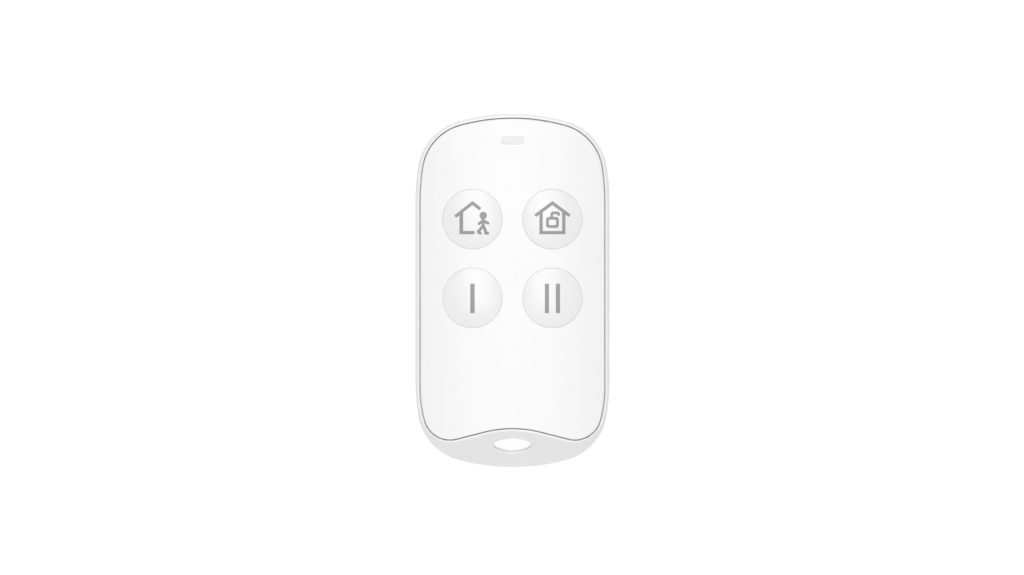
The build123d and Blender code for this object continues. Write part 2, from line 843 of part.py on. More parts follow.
def battery_clip():
    """Sheet metal bridge that holds the coin cell against the board."""
    inner = cell_diameter / 2 + clip_gap
    outer = inner + clip_thickness
    low_y = cell_y - clip_width / 2
    high_y = cell_y + clip_width / 2
    foot_z = cell_bottom_z - clip_thickness
    clip = block(-outer, outer, low_y, high_y, foot_z, board_bottom_z)
    lower = [edge for edge in clip.edges().filter_by(Axis.Y) if edge.center().Z < cell_bottom_z]
    clip = fillet(lower, clip_bend_radius)
    clip = clip - block(-inner, inner, low_y, high_y, cell_bottom_z, board_bottom_z)
    foot = block(
        outer, outer + clip_foot, low_y, high_y, board_bottom_z - clip_thickness, board_bottom_z
    )
    for added in on_both_sides(foot):
        clip = clip + added
    return clip.solid()


def battery_pad():
    top_z = cell_bottom_z - clip_thickness - pad_gap
    return disc(0, cell_y, floor_thickness, top_z, pad_diameter).solid()


def square_chip(y, size, height):
    """Flat black chip with a small round mark in one corner."""
    half = size / 2
    chip = block(-half, half, y - half, y + half, board_top_z, board_top_z + height)
    chip = chamfer(chip.edges().group_by(Axis.Z)[-1], chip_edge)
    top_z = board_top_z + height
    mark_x = chip_mark_inset - half
    mark_y = y + half - chip_mark_inset
    return (chip - disc(mark_x, mark_y, top_z - chip_mark_depth, top_z, chip_mark_diameter)).solid()


def crystal():
    length = crystal_length / 2
    width = crystal_width / 2
    top_z = board_top_z + crystal_height
    can = block(-length, length, crystal_y - width, crystal_y + width, board_top_z, top_z)
    return chamfer(can.edges().group_by(Axis.Z)[-1], chip_edge).solid()


def signal_led():
    length = lamp_length / 2
    width = lamp_width / 2
    base_z = board_top_z + lamp_base_height
    top_z = board_top_z + lamp_height
    base = block(-length, length, light_y - width, light_y + width, board_top_z, base_z)
    lens_x = length - lamp_lens_margin
    lens_y = width - lamp_lens_margin
    lens = block(-lens_x, lens_x, light_y - lens_y, light_y + lens_y, base_z, top_z)
    return (base + lens).solid()


def board_parts(x, first_y, pitch, rows, length, width, height):
    """Two columns of small board parts, each with a raised metal cap at both ends."""
    solids = []
    half = length / 2
    for number in range(rows):
        y = first_y - pitch * number
        low_y = y - width / 2
        high_y = y + width / 2
        piece = block(x - half, x + half, low_y, high_y, board_top_z, board_top_z + height)
        for end_x in (x - half, x + half - end_cap_length):
            piece = piece + block(
                end_x,
                end_x + end_cap_length,
                low_y - end_cap_step,
                high_y + end_cap_step,
                board_top_z,
                board_top_z + height + end_cap_step,
            )
        solids += on_both_sides(piece.solid())
    return Compound(solids)


def capacitors():
    return board_parts(
        capacitor_x,
        capacitor_first_y,
        capacitor_pitch,
        capacitor_rows,
        capacitor_length,
        capacitor_width,
        capacitor_height,
    )


def resistors():
    return board_parts(
        resistor_x,
        resistor_first_y,
        resistor_pitch,
        resistor_rows,
        resistor_length,
        resistor_width,
        resistor_height,
    )


def screw(x, y, seat_z, head_diameter, head_height, diameter, length):
    """Screw that points up, with a cross recess in its head."""
    head_z = seat_z - head_height
    head = disc(x, y, head_z, seat_z, head_diameter)
    shank = disc(x, y, seat_z, seat_z + length, diameter)
    shank = chamfer(shank.faces().sort_by(Axis.Z)[-1].edges(), screw_tip_chamfer)
    reach = screw_slot_length / 2
    side = screw_slot_width / 2
    slot_top = head_z + screw_slot_depth
    across = block(x - reach, x + reach, y - side, y + side, head_z, slot_top)
    along = block(x - side, x + side, y - reach, y + reach, head_z, slot_top)
    return (head + shank - across - along).solid()


def board_screws():
    screws = []
    for y in board_boss_ys:
        screws.append(
            screw(
                0,
                y,
                board_bottom_z,
                board_screw_head_diameter,
                board_screw_head_height,
                board_screw_diameter,
                board_screw_length,
            )
        )
    return Compound(screws)


def case_screws():
    right = screw(
        case_screw_x,
        case_screw_y,
        case_screw_seat_z,
        case_screw_head_diameter,
        case_screw_head_height,
        case_screw_diameter,
        case_screw_length,
    )
    return Compound(on_both_sides(right))


def all_parts():
    """Every piece by name."""
    parts = {
        "rear_cover": rear_cover(),
        "body_frame": body_frame(),
        "front_cover": front_cover(),
        "light_guide": light_guide(),
        "circuit_board": circuit_board(),
        "signal_led": signal_led(),
        "microcontroller": square_chip(controller_y, controller_size, controller_height),
        "radio_chip": square_chip(radio_y, radio_size, radio_height),
        "crystal": crystal(),
        "capacitors": capacitors(),
        "resistors": resistors(),
        "antenna": antenna(),
        "battery_can": battery_can(),
        "battery_gasket": battery_gasket(),
        "battery_cap": battery_cap(),
        "battery_contact": battery_contact(),
        "battery_clip": battery_clip(),
        "battery_pad": battery_pad(),
        "board_screws": board_screws(),
        "case_screws": case_screws(),
    }
    for name, x, y in button_places():
        parts[name + "_button"] = button_cap(x, y)
        parts[name + "_switch_base"] = switch_base(x, y)
        parts[name + "_switch_cover"] = switch_cover(x, y)
        parts[name + "_switch_dome"] = switch_dome(x, y)
        parts[name + "_switch_plunger"] = switch_plunger(x, y)
    return parts


def main():
    os.makedirs("parts", exist_ok=True)
    for name, shape in all_parts().items():
        export_step(shape, f"parts/{name}.step")


if __name__ == "__main__":
    main()
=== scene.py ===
import math
from collections import namedtuple

import bmesh
import bpy
import numpy as np
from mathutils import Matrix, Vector


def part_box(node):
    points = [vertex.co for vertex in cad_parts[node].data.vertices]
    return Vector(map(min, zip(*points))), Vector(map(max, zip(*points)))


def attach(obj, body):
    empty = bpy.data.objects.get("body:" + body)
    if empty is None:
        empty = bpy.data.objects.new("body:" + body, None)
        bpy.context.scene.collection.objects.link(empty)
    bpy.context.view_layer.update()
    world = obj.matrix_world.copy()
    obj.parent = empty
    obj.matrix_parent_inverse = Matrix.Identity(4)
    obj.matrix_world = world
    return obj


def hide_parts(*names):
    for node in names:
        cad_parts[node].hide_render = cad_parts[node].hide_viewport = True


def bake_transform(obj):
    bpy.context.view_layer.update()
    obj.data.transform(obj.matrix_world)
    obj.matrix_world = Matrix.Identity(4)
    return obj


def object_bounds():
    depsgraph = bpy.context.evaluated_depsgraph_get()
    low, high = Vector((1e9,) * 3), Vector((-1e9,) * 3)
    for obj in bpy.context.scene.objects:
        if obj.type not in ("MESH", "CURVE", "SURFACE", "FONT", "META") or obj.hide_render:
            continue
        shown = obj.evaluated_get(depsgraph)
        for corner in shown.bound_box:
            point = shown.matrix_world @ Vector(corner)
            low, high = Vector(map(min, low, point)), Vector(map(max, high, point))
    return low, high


# Looks of the alarm key fob: satin white mouldings, printed symbols on the four
# buttons, and the pieces inside. Lengths are metres, in the frame of the model,
# unless a name ends in PX or MM.

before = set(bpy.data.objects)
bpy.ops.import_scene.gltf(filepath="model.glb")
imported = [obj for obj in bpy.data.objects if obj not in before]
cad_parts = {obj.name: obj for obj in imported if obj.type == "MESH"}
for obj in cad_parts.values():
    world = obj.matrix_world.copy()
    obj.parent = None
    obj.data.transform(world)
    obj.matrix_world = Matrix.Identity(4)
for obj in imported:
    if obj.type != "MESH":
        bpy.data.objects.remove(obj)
bpy.context.view_layer.update()
cad_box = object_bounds()

MM = 0.001
MICRON = 0.000001

# The photograph, in pixels
IMAGE_WIDTH_PX = 1024
IMAGE_HEIGHT_PX = 575
FOB_CENTER_PX = (512.45, 290.6)
FOB_LENGTH_PX = 354.2

# Camera
FOCAL_LENGTH_MM = 400.0
SENSOR_WIDTH_MM = 36.0

# Patterns of the materials: how much of a noise's range is cut off at each end, how
# many finer layers it has, and how far the gloss strays, as a share of the roughness
NOISE_MARGIN_SHARE = 0.25
PATCH_DETAIL = 3.0
GRAIN_DETAIL = 4.0
GLOSS_SHARE = 0.12

# Sockets of the mixing nodes that share their name with others: the two colours of a
# Mix node and their blend, and the two shaders of a Mix Shader node
MIX_FIRST_COLOR = 6
MIX_SECOND_COLOR = 7
MIX_COLOR_RESULT = 2
MIX_FIRST_SHADER = 1
MIX_SECOND_SHADER = 2

# Battery can: the scale of its ring pattern, which puts the rings 1.26 mm apart
RING_SCALE = 250.0
RING_DEPTH = 1.5 * MICRON

# Circuit board: the scale of its brick pattern, which puts rows of tracks 1 mm apart
TRACK_SCALE = 250.0
TRACK_COLOR = (0.03, 0.2, 0.09)
TRACK_DEPTH = 20 * MICRON

# Small parts on the board: the tinned caps of the capacitors and resistors, as a share
# of half the part, and where the lens of the lamp begins, as a share of its height
CAP_COLOR = (0.72, 0.72, 0.70)
CAP_SHARE = 0.37
LENS_COLOR = (0.8, 0.62, 0.12)
LENS_FOOT_SHARE = 0.45

# Foam pad
FOAM_CELL = 0.35 * MM
FOAM_DEPTH = 60 * MICRON

# Ink of the symbols: how far it stands proud, and how deep its underside lies
INK_RISE = 0.012 * MM
INK_SINK = 0.03 * MM

# The square shell over a button's face that the ink is cut from: half its side, the
# side of its cells, and how far down the face points are taken for its fit
SHELL_REACH = 4.05 * MM
SHELL_CELL = 0.45 * MM
FACE_SAMPLE_DEPTH = 0.6 * MM

# Edges of the ink that turn by more than this are shaded sharp
SHARP_ANGLE = math.radians(30)

# Cutters of the symbols: each reaches a little further than the last, so that no two
# of them end in the same plane
CUTTER_DEPTH = 1.5 * MM
CUTTER_RISE = 0.5 * MM
CUTTER_STEP = 0.01 * MM

# Steps of an arc, and of a full circle
ARC_STEPS = 12
CIRCLE_STEPS = 4 * ARC_STEPS

# House symbol, from the button's middle
HOUSE_APEX_Y = 3.49 * MM
ROOF_DEPTH = 0.79 * MM
HOUSE_WALL_X = 2.50 * MM
HOUSE_WALL_WIDTH = 0.63 * MM
HOUSE_FOOT_Y = -2.90 * MM
HOUSE_FOOT_WIDTH = 0.60 * MM
EAVE_X = 3.52 * MM
EAVE_Y = 0.87 * MM
EAVE_INNER_X = 3.15 * MM
EAVE_INNER_Y = 0.39 * MM
WALL_TOP_Y = 1.30 * MM

# The open house that the walking figure leaves
OPEN_EAVE_Y = 0.69 * MM
OPEN_EAVE_INNER_Y = 0.245 * MM
OPEN_WALL_WIDTH = 0.70 * MM
OPEN_ROOF_END = (1.71 * MM, 2.18 * MM)
OPEN_ROOF_INNER_END = (1.36 * MM, 1.69 * MM)
OPEN_FOOT_END_X = 0.39 * MM

# Walking figure
LIMB_WIDTH = 0.57 * MM
HEAD_RADIUS = 0.71 * MM
HEAD = (2.07 * MM, 0.68 * MM)
CHEST = (2.05 * MM, -0.30 * MM)
HIP = (2.08 * MM, -1.24 * MM)
LEFT_HAND = (1.29 * MM, -0.88 * MM)
RIGHT_HAND = (2.99 * MM, -0.79 * MM)
LEFT_HEEL = (1.10 * MM, -2.44 * MM)
LEFT_TOE = (1.49 * MM, -2.72 * MM)
RIGHT_KNEE = (2.43 * MM, -2.05 * MM)
RIGHT_HEEL = (2.54 * MM, -2.69 * MM)
RIGHT_TOE = (2.93 * MM, -2.69 * MM)

# Open padlock: its inside corners are tighter by a share of the stroke, and the bend
# over its free end stops at an angle in degrees
LOCK_WIDTH = 2.48 * MM
LOCK_TOP_Y = 0.43 * MM
LOCK_FOOT_Y = -1.71 * MM
LOCK_CORNER = 0.56 * MM
LOCK_STROKE = 0.55 * MM
LOCK_INNER_CORNER_SHARE = 0.85
SHACKLE_STROKE = 0.51 * MM
SHACKLE_X = -0.13 * MM
SHACKLE_TOP_Y = 1.20 * MM
SHACKLE_BEND = 0.28 * MM
SHACKLE_END_X = 1.19 * MM
SHACKLE_END_Y = 0.87 * MM
SHACKLE_END_ANGLE = 10

# Function bars
BAR_WIDTH = 0.83 * MM
BAR_LENGTH = 5.67 * MM
BAR_CENTER_Y = -0.09 * MM
TWIN_BAR_WIDTH = 0.80 * MM
TWIN_BAR_X = 1.06 * MM

# Stage: a round floor that bends up into a low wall, a hair below the object. It
# glows evenly as far as the inner radius, and fades from there to the outer one. Its
# vertices are merged where they are closer than the merge distance.
FLOOR_DROP = 0.05 * MM
STAGE_RADIUS = 1.6
STAGE_BEND = 0.3
STAGE_WALL = 0.2
STAGE_STEPS = 8 * ARC_STEPS
MERGE_DISTANCE = 0.05 * MM
FLOOR_TONE = 0.14
FLOOR_ROUGHNESS = 0.9
FLOOR_GLOW = 0.9
FAR_GLOW = 0.25
GLOW_INNER_RADIUS = 0.16
GLOW_OUTER_RADIUS = 0.7

# Light: the level of the room, and the soft boxes, which all point at the object
SoftBox = namedtuple("SoftBox", "place size brightness")
WORLD_LEVEL = 0.22
SOFT_BOXES = {
    "key": SoftBox(place=(-0.03, 0.26, 1.05), size=(0.46, 1.1), brightness=4.45),
    "top": SoftBox(place=(0.0, 1.1, 0.8), size=(0.7, 0.6), brightness=2.6),
    "fill": SoftBox(place=(0.0, -0.9, 0.7), size=(0.5, 0.6), brightness=3.8),
}


def grey(level):
    """Colour without a hue."""
    return (level, level, level)


def tone(color, factor):
    """A colour made lighter or darker."""
    return tuple(min(1.0, channel * factor) for channel in color)


def new_material(name):
    """A material with nodes."""
    material = bpy.data.materials.new(name)
    material.use_nodes = True
    return material


def main_shader(material):
    """The shader that a new material comes with."""
    return material.node_tree.nodes["Principled BSDF"]


def set_inputs(node, **inputs):
    """Sets unlinked inputs of a node, whose names have _ for each space."""
    for name, value in inputs.items():
        node.inputs[name.replace("_", " ")].default_value = value


def feed(material, name, socket):
    """Links a socket to an input of a material's main shader."""
    material.node_tree.links.new(socket, main_shader(material).inputs[name])


def add(tree, kind, settings=None, **inputs):
    """A new node with its settings and its unlinked inputs."""
    node = tree.nodes.new(kind)
    for name, value in (settings or {}).items():
        setattr(node, name, value)
    set_inputs(node, **inputs)
    return node


def object_place(tree, stretch=(1, 1, 1), shift=(0, 0, 0)):
    """Place on the object, stretched along its axes and then shifted, as a socket."""
    where = add(tree, "ShaderNodeTexCoord")
    mapping = add(tree, "ShaderNodeMapping", Scale=stretch, Location=shift)
    tree.links.new(where.outputs["Object"], mapping.inputs["Vector"])
    return mapping.outputs["Vector"]


def noise(tree, place, size, detail):
    """Noise with cells of about the given size, as a socket from 0 to 1."""
    node = add(tree, "ShaderNodeTexNoise", Scale=1 / size, Detail=detail)
    tree.links.new(place, node.inputs["Vector"])
    return node.outputs["Fac"]


def spread(tree, value, low, high):
    """The middle of a noise's range, drawn out from low to high."""
    node = add(
        tree,
        "ShaderNodeMapRange",
        From_Min=NOISE_MARGIN_SHARE,
        From_Max=1 - NOISE_MARGIN_SHARE,
        To_Min=low,
        To_Max=high,
    )
    tree.links.new(value, node.inputs["Value"])
    return node.outputs["Result"]


def blend(tree, factor, first, second):
    """Colour between two colours or sockets, by a factor socket."""
    node = add(tree, "ShaderNodeMix", {"data_type": "RGBA"})
    tree.links.new(factor, node.inputs["Factor"])
    for number, color in ((MIX_FIRST_COLOR, first), (MIX_SECOND_COLOR, second)):
        if isinstance(color, tuple):
            node.inputs[number].default_value = (*color, 1.0)
        else:
            tree.links.new(color, node.inputs[number])
    return node.outputs[MIX_COLOR_RESULT]


def calculate(tree, operation, first, second=0.0):
    """The named operation on one or two numbers or sockets, as a socket."""
    node = add(tree, "ShaderNodeMath", {"operation": operation})
    for socket, value in zip(node.inputs, (first, second)):
        if isinstance(value, (int, float)):
            socket.default_value = value
        else:
            tree.links.new(value, socket)
    return node.outputs["Value"]


def relief(tree, height, depth):
    """Bump of the given depth from a height socket."""
    node = add(tree, "ShaderNodeBump", Strength=1.0, Distance=depth)
    tree.links.new(height, node.inputs["Height"])
    return node.outputs["Normal"]


def paint_over(material, factor, color):
    """Puts a colour over the material's own, as far as a factor socket says."""
    own = main_shader(material).inputs["Base Color"].links[0].from_socket
    feed(material, "Base Color", blend(material.node_tree, factor, own, color))


def surface(name, color, roughness, variation, patch, grain, depth=None, stretch=(1, 1, 1)):
    """Material whose tone drifts in patches and whose gloss follows a fine grain.

    The tone varies by a share of itself. The grain is in relief where it has a depth.
    """
    material = new_material(name)
    tree = material.node_tree
    place = object_place(tree, stretch)
    patches = spread(tree, noise(tree, place, patch, PATCH_DETAIL), 0.0, 1.0)
    mixed = blend(tree, patches, tone(color, 1 - variation), tone(color, 1 + variation))
    feed(material, "Base Color", mixed)
    fine = noise(tree, place, grain, GRAIN_DETAIL)
    gloss = spread(tree, fine, roughness * (1 - GLOSS_SHARE), roughness * (1 + GLOSS_SHARE))
    feed(material, "Roughness", gloss)
    if depth is not None:
        feed(material, "Normal", relief(tree, fine, depth))
    return material


def moulded_white(name, color, roughness):
    """Satin white moulding with the fine spark texture of its tool."""
    material = surface(
        name,
        color,
        roughness,
        variation=0.006,
        patch=7 * MM,
        grain=0.16 * MM,
        depth=1.2 * MICRON,
    )
    set_inputs(main_shader(material), IOR=1.5)
    return material


def light_window(name):
    """Frosted clear guide, faintly cloudy inside."""
    material = surface(
        name,
        color=grey(0.785),
        roughness=0.3,
        variation=0.012,
        patch=1.2 * MM,
        grain=0.1 * MM,
        depth=0.8 * MICRON,
    )
    set_inputs(
        main_shader(material), IOR=1.49, Subsurface_Weight=0.35, Subsurface_Scale=0.6 * MM
    )
    return material


def plain_moulding(name, color, roughness, grain=0.12 * MM):
    """Plastic or rubber that isn't seen from outside."""
    return surface(
        name, color, roughness, variation=0.08, patch=2 * MM, grain=grain, depth=2 * MICRON
    )


def printed_ink(name):
    """Grey pad-printed ink with a slightly uneven film."""
    return surface(
        name,
        color=grey(0.32),
        roughness=0.5,
        variation=0.03,
        patch=0.6 * MM,
        grain=0.05 * MM,
        depth=1.5 * MICRON,
    )


def metal(name, color, roughness, grain, stretch=(1, 1, 1)):
    """Bare or plated metal, its grain drawn out across the stretched axes."""
    material = surface(
        name,
        color,
        roughness,
        variation=0.05,
        patch=3 * MM,
        grain=grain,
        depth=0.8 * MICRON,
        stretch=stretch,
    )
    set_inputs(main_shader(material), Metallic=1.0)
    return material


def turned_metal(name, color, roughness):
    """Metal with the fine rings of a pressed and turned cell can."""
    material = surface(
        name, color, roughness, variation=0.04, patch=4 * MM, grain=0.2 * MM
    )
    tree = material.node_tree
    low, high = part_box("battery_can")
    rings = add(
        tree,
        "ShaderNodeTexWave",
        {"wave_type": "RINGS", "rings_direction": "Z"},
        Scale=RING_SCALE,
        Distortion=0.2,
    )
    from_middle = object_place(tree, shift=-(low + high) / 2)
    tree.links.new(from_middle, rings.inputs["Vector"])
    feed(material, "Normal", relief(tree, rings.outputs["Fac"], RING_DEPTH))
    set_inputs(main_shader(material), Metallic=1.0)
    return material


def solder_mask(name):
    """Green board with copper tracks that show through as paler lines."""
    material = surface(
        name,
        color=(0.012, 0.11, 0.045),
        roughness=0.32,
        variation=0.08,
        patch=5 * MM,
        grain=0.15 * MM,
    )
    tree = material.node_tree
    tracks = add(
        tree,
        "ShaderNodeTexBrick",
        {"offset": 0.37, "squash": 0.7, "squash_frequency": 3},
        Scale=TRACK_SCALE,
        Mortar_Size=0.03,
        Mortar_Smooth=0.1,
    )
    tree.links.new(object_place(tree), tracks.inputs["Vector"])
    paint_over(material, tracks.outputs["Fac"], TRACK_COLOR)
    feed(material, "Normal", relief(tree, tracks.outputs["Fac"], TRACK_DEPTH))
    set_inputs(main_shader(material), Coat_Weight=0.3)
    return material


def capped_part(name, color, node_name):
    """Small board parts in two rows: a ceramic middle, and tinned caps at both ends in X."""
    material = surface(
        name,
        color,
        roughness=0.45,
        variation=0.06,
        patch=0.5 * MM,
        grain=0.06 * MM,
        depth=1.0 * MICRON,
    )
    tree = material.node_tree
    _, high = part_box(node_name)
    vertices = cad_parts[node_name].data.vertices
    inner = min(vertex.co.x for vertex in vertices if vertex.co.x > 0)
    middle = (inner + high.x) / 2
    half = (high.x - inner) / 2
    split = add(tree, "ShaderNodeSeparateXYZ")
    tree.links.new(object_place(tree), split.inputs["Vector"])
    across = calculate(tree, "ABSOLUTE", split.outputs["X"])
    out = calculate(tree, "ABSOLUTE", calculate(tree, "SUBTRACT", across, middle))
    is_cap = calculate(tree, "GREATER_THAN", out, half * (1 - CAP_SHARE))
    paint_over(material, is_cap, CAP_COLOR)
    feed(material, "Metallic", is_cap)
    return material


def lamp_body(name):
    """White lamp base with a yellow phosphor lens on top."""
    material = surface(
        name,
        color=(0.8, 0.8, 0.78),
        roughness=0.35,
        variation=0.03,
        patch=0.5 * MM,
        grain=0.05 * MM,
        depth=0.8 * MICRON,
    )
    tree = material.node_tree
    low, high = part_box("signal_led")
    split = add(tree, "ShaderNodeSeparateXYZ")
    tree.links.new(object_place(tree), split.inputs["Vector"])
    lens_foot = low.z + (high.z - low.z) * LENS_FOOT_SHARE
    is_lens = calculate(tree, "GREATER_THAN", split.outputs["Z"], lens_foot)
    paint_over(material, is_lens, LENS_COLOR)
    return material


def foam(name):
    """Soft grey foam with open cells."""
    material = surface(
        name,
        color=(0.16, 0.16, 0.165),
        roughness=0.9,
        variation=0.1,
        patch=2 * MM,
        grain=0.2 * MM,
    )
    tree = material.node_tree
    cells = add(tree, "ShaderNodeTexVoronoi", Scale=1 / FOAM_CELL)
    tree.links.new(object_place(tree), cells.inputs["Vector"])
    feed(material, "Normal", relief(tree, cells.outputs["Distance"], FOAM_DEPTH))
    return material


def finishes():
    """A material for each material slot of the record."""
    makers = {
        "white_shell": (moulded_white, {"color": grey(0.89), "roughness": 0.30}),
        "white_panel": (moulded_white, {"color": grey(0.87), "roughness": 0.29}),
        "white_button": (moulded_white, {"color": grey(0.88), "roughness": 0.32}),
        "clear_light": (light_window, {}),
        "board_green": (solder_mask, {}),
        "chip_black": (plain_moulding, {"color": (0.02, 0.02, 0.021), "roughness": 0.6}),
        "ceramic_tan": (
            capped_part,
            {"color": (0.45, 0.31, 0.17), "node_name": "capacitors"},
        ),
        "resistor_dark": (
            capped_part,
            {"color": (0.02, 0.02, 0.025), "node_name": "resistors"},
        ),
        "nickel": (
            metal,
            {"color": (0.66, 0.64, 0.60), "roughness": 0.28, "grain": 0.1 * MM},
        ),
        "steel": (turned_metal, {"color": grey(0.62), "roughness": 0.3}),
        "spring_steel": (
            metal,
            {
                "color": (0.6, 0.58, 0.54),
                "roughness": 0.33,
                "grain": 0.6 * MM,
                "stretch": (1, 12, 1),
            },
        ),
        "gold_contact": (
            metal,
            {"color": (0.86, 0.62, 0.24), "roughness": 0.25, "grain": 0.2 * MM},
        ),
        "copper_wire": (
            metal,
            {
                "color": (0.8, 0.45, 0.28),
                "roughness": 0.3,
                "grain": 1 * MM,
                "stretch": (20, 1, 20),
            },
        ),
        "switch_black": (plain_moulding, {"color": grey(0.03), "roughness": 0.5}),
        "plunger_white": (plain_moulding, {"color": (0.75, 0.75, 0.72), "roughness": 0.45}),
        "seal_black": (
            plain_moulding,
            {"color": grey(0.02), "roughness": 0.75, "grain": 0.2 * MM},
        ),
        "foam_grey": (foam, {}),
        "led_body": (lamp_body, {}),
    }
    return {
        slot: maker(slot + "_looks", **values) for slot, (maker, values) in makers.items()
    }


def dress_nodes():
    """Gives every modelled node the finish of its material slot."""
    made = finishes()
    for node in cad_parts.values():
        for slot in node.material_slots:
            slot.material = made[slot.material.name]


def turn(center, radius, first, last, steps=ARC_STEPS):
    """Points on an arc between two angles in degrees, both ends included."""
    points = []
    for step in range(steps + 1):
        angle = math.radians(first + (last - first) * step / steps)
        x = center[0] + radius * math.cos(angle)
        y = center[1] + radius * math.sin(angle)
        points.append((x, y))
    return points


def rectangle(x0, x1, y0, y1):
    """Outline that starts at its lower left corner and runs anticlockwise."""
    return [(x0, y0), (x1, y0), (x1, y1), (x0, y1)]


def rounded_rectangle(x0, x1, y0, y1, corner):
    """Outline that starts at its lower right corner and runs anticlockwise."""
    centers = (
        (x1 - corner, y0 + corner, 270),
        (x1 - corner, y1 - corner, 0),
        (x0 + corner, y1 - corner, 90),
        (x0 + corner, y0 + corner, 180),
    )
    points = []
    for x, y, first in centers:
        points += turn((x, y), corner, first, first + 90)
    return points


def limb(start, end, width):
    """A straight stroke with round ends."""
    heading = math.degrees(math.atan2(end[1] - start[1], end[0] - start[0]))
    half = width / 2
    far = turn(end, half, heading - 90, heading + 90)
    near = turn(start, half, heading + 90, heading + 270)
    return far + near


def path_strokes(points, width):
    """A stroke for each step of a path, all of one width."""
    return [limb(start, end, width) for start, end in zip(points, points[1:])]


def roof(eave_left, inner_left, inner_right, eave_right):
    """Chevron of the roof, with its apex in the middle."""
    apex = (0, HOUSE_APEX_Y)
    inner_apex = (0, HOUSE_APEX_Y - ROOF_DEPTH)
    return [eave_left, inner_left, inner_apex, inner_right, eave_right, apex]


def bar(x, width):
    """An upright bar with its middle at x."""
    half = width / 2
    foot = BAR_CENTER_Y - BAR_LENGTH / 2
    return rectangle(x - half, x + half, foot, foot + BAR_LENGTH)


# Each symbol is a list of outlines, and a list of rings that are an outline and a hole


def away_symbol():
    """A house that stands open on the right, and a figure that walks out of it."""
    foot_top = HOUSE_FOOT_Y + HOUSE_FOOT_WIDTH
    shapes = [
        roof(
            (-EAVE_X, OPEN_EAVE_Y),
            (-EAVE_INNER_X, OPEN_EAVE_INNER_Y),
            OPEN_ROOF_INNER_END,
            OPEN_ROOF_END,
        ),
        rectangle(-HOUSE_WALL_X, OPEN_WALL_WIDTH - HOUSE_WALL_X, HOUSE_FOOT_Y, WALL_TOP_Y),
        rectangle(-HOUSE_WALL_X, OPEN_FOOT_END_X, HOUSE_FOOT_Y, foot_top),
        turn(HEAD, HEAD_RADIUS, 0, 360, CIRCLE_STEPS)[:-1],
    ]
    for line in (
        (HEAD, CHEST, HIP),
        (CHEST, LEFT_HAND),
        (CHEST, RIGHT_HAND),
        (HIP, LEFT_HEEL, LEFT_TOE),
        (HIP, RIGHT_KNEE, RIGHT_HEEL, RIGHT_TOE),
    ):
        shapes += path_strokes(line, LIMB_WIDTH)
    return shapes, []


def disarm_symbol():
    """A closed house with an open padlock in it."""
    foot_top = HOUSE_FOOT_Y + HOUSE_FOOT_WIDTH
    inner_x = HOUSE_WALL_X - HOUSE_WALL_WIDTH
    shapes = [
        roof(
            (-EAVE_X, EAVE_Y),
            (-EAVE_INNER_X, EAVE_INNER_Y),
            (EAVE_INNER_X, EAVE_INNER_Y),
            (EAVE_X, EAVE_Y),
        ),
        rectangle(-HOUSE_WALL_X, -inner_x, HOUSE_FOOT_Y, WALL_TOP_Y),
        rectangle(inner_x, HOUSE_WALL_X, HOUSE_FOOT_Y, WALL_TOP_Y),
        rectangle(-HOUSE_WALL_X, HOUSE_WALL_X, HOUSE_FOOT_Y, foot_top),
    ]
    half = LOCK_WIDTH / 2
    body = rounded_rectangle(-half, half, LOCK_FOOT_Y, LOCK_TOP_Y, LOCK_CORNER)
    window = rounded_rectangle(
        LOCK_STROKE - half,
        half - LOCK_STROKE,
        LOCK_FOOT_Y + LOCK_STROKE,
        LOCK_TOP_Y - LOCK_STROKE,
        LOCK_CORNER - LOCK_STROKE * LOCK_INNER_CORNER_SHARE,
    )
    bend_y = SHACKLE_TOP_Y - SHACKLE_BEND
    near_bend = (SHACKLE_X + SHACKLE_BEND, bend_y)
    far_bend = (SHACKLE_END_X - SHACKLE_BEND, bend_y)
    shackle = [(SHACKLE_X, LOCK_TOP_Y - LOCK_STROKE / 2)]
    shackle += turn(near_bend, SHACKLE_BEND, 180, 90)
    shackle += turn(far_bend, SHACKLE_BEND, 90, SHACKLE_END_ANGLE)
    shackle.append((SHACKLE_END_X, SHACKLE_END_Y))
    return shapes + path_strokes(shackle, SHACKLE_STROKE), [(body, window)]


def single_bar_symbol():
    """One bar."""
    return [bar(0, BAR_WIDTH)], []


def twin_bar_symbol():
    """Two bars, a little thinner than the single one."""
    return [bar(-TWIN_BAR_X, TWIN_BAR_WIDTH), bar(TWIN_BAR_X, TWIN_BAR_WIDTH)], []


SYMBOLS = {
    "away": away_symbol,
    "disarm": disarm_symbol,
    "function_1": single_bar_symbol,
    "function_2": twin_bar_symbol,
}


def button_middle(name):
    """Middle of a button seen from the front; its flange is round but for a key at +Y."""
    low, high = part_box(name + "_button")
    radius = (high.x - low.x) / 2
    return Vector((low.x + radius, low.y + radius, high.z))


def face_sphere(name):
    """Centre and radius of the sphere that a button's face is part of.

    The fit is made in millimetres from the button's middle, for the sake of precision.
    """
    middle = button_middle(name)
    points = []
    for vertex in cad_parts[name + "_button"].data.vertices:
        place = vertex.co - middle
        if place.z > -FACE_SAMPLE_DEPTH and place.xy.length < SHELL_REACH:
            points.append(place / MM)
    points = np.array(points)
    sums = (points**2).sum(axis=1)
    system = np.hstack([2 * points, np.ones((len(points), 1))])
    x, y, z, rest = np.linalg.lstsq(system, sums, rcond=None)[0]
    radius = math.sqrt(rest + x * x + y * y + z * z) * MM
    return middle + Vector((x, y, z)) * MM, radius


